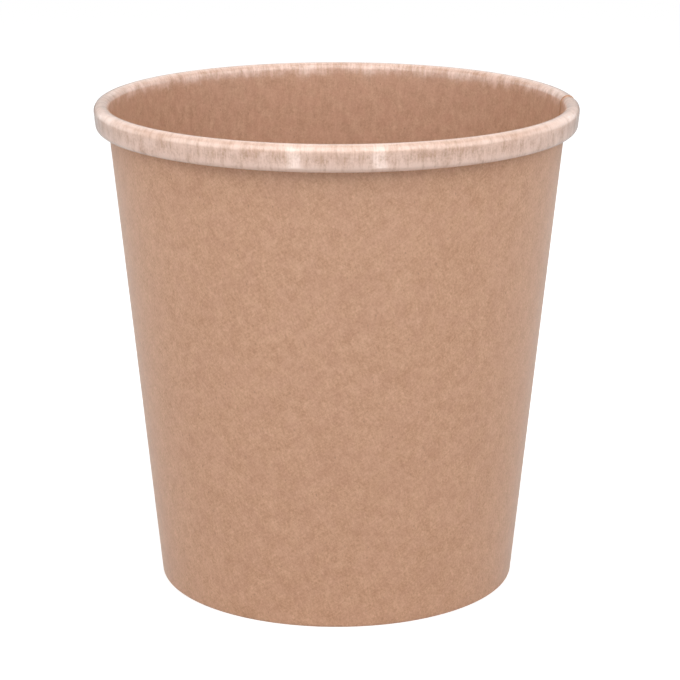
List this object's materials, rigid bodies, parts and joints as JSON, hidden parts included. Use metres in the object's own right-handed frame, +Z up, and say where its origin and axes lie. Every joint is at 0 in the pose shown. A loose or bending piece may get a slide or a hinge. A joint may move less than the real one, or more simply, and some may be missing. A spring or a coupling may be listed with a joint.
{
  "type": "soup cup",
  "caption": "Round tapered paper soup cup with a rolled rim, a lapped side seam and a base recessed above its folded foot.",
  "frame": {"origin": "centre of the foot, on the surface that the cup stands on", "axes": "+Z up along the cup's axis, towards the open rim; the side seam is just past +X, towards +Y"},
  "size_m": [0.098, 0.098, 0.0995],
  "materials": {
    "kraft_board": "matte",
    "base_board": "satin"
  },
  "bodies": {
    "root": {"sidewall": "kraft_board", "base_disc": "base_board"}
  },
  "joints": []
}
